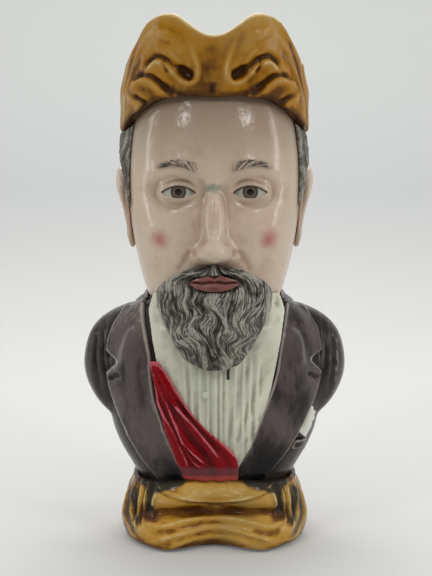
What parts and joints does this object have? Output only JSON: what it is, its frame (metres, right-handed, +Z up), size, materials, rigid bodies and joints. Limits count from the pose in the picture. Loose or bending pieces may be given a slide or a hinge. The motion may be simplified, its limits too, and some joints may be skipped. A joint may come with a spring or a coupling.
{
  "type": "character jug",
  "caption": "Glazed earthenware jug shaped as the bust of a bearded gentleman in a coat and sash, on a scrolled plinth, with a lobed pouring lip over the brow and a handle behind.",
  "frame": {"origin": "centre of the underside of the base slab, on the resting plane", "axes": "+Z up, -Y to the front where the face looks, +X to the right as seen from the front"},
  "size_m": [0.1538, 0.1694, 0.3007],
  "materials": {
    "biscuit": "bare fired earthenware",
    "amber_glaze": "gloss honey-amber glaze, brown in the hollows and pale on the ridges",
    "coat_glaze": "gloss aubergine-brown glaze, streaked, thin on the edges",
    "shirt_glaze": "gloss white glaze with a faint grey-green tint",
    "sash_glaze": "gloss crimson glaze, pink on the folds",
    "flesh_glaze": "gloss flesh-coloured glaze with rosy cheeks",
    "lip_glaze": "gloss rose-red glaze",
    "hair_glaze": "gloss grey glaze, black in the grooves"
  },
  "bodies": {
    "root": {"base_plate": "biscuit", "plinth": "amber_glaze", "torso": "coat_glaze", "head": "flesh_glaze", "spout": "amber_glaze", "handle": "amber_glaze", "left_sleeve": "coat_glaze", "right_sleeve": "coat_glaze", "left_lapel": "coat_glaze", "right_lapel": "coat_glaze", "coat_collar": "coat_glaze", "shirt_front": "shirt_glaze", "shirt_stud": "shirt_glaze", "sash": "sash_glaze", "breast_pocket": "coat_glaze", "pocket_handkerchief": "shirt_glaze", "beard": "hair_glaze", "lips": "lip_glaze", "left_ear": "flesh_glaze", "right_ear": "flesh_glaze", "hair": "hair_glaze", "left_eyebrow": "hair_glaze", "right_eyebrow": "hair_glaze"}
  },
  "joints": []
}
